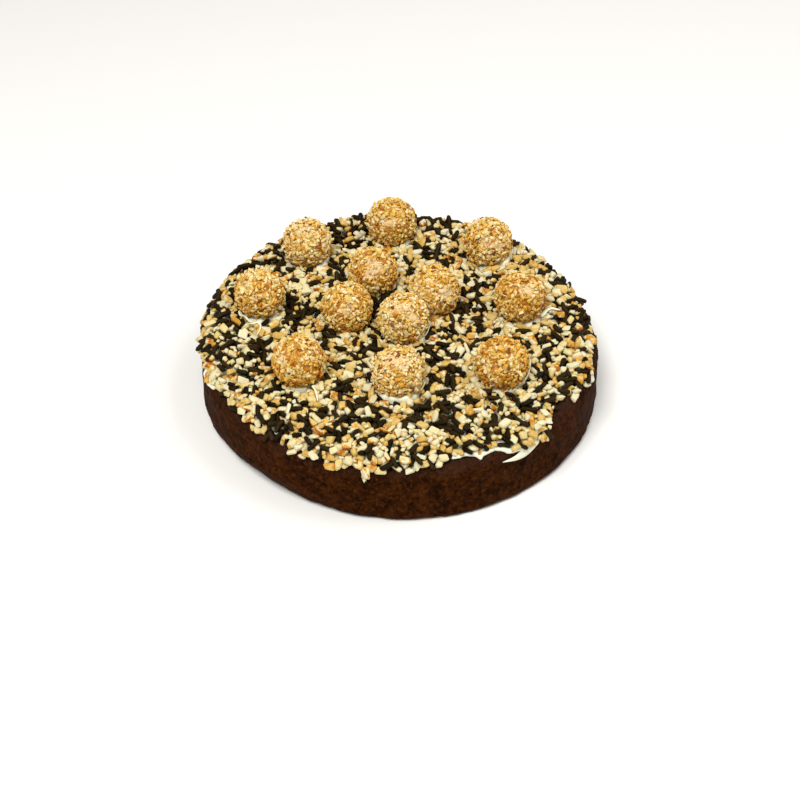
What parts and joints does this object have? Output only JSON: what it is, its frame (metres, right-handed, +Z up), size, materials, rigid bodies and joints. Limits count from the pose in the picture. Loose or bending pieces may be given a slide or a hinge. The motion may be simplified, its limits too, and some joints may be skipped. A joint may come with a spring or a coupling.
{
  "type": "brownie cake",
  "caption": "Round dark brownie cake topped with white icing, strewn with chopped nuts and dark sprinkles, and set with nut-coated truffles.",
  "frame": {"origin": "centre of the cake's flat base", "axes": "+Z up; the cake's front, towards the picture's camera, faces -Y; +X is the viewer's right"},
  "size_m": [0.1737, 0.1719, 0.0503],
  "materials": {
    "brownie": "baked chocolate sponge, very dark brown, finely pored, with a soft sheen on its shoulder",
    "icing": "creamy white icing, half matte, under pale chopped nuts with toasted edges and near-black sprinkles",
    "truffle": "coat of fine toasted nut crumbs, golden with brown flecks, dry and rough"
  },
  "bodies": {
    "root": {"brownie": "brownie", "icing": "icing", "truffle_01": "truffle", "truffle_02": "truffle", "truffle_03": "truffle", "truffle_04": "truffle", "truffle_05": "truffle", "truffle_06": "truffle", "truffle_07": "truffle", "truffle_08": "truffle", "truffle_09": "truffle", "truffle_10": "truffle", "truffle_11": "truffle", "truffle_12": "truffle"}
  },
  "joints": []
}
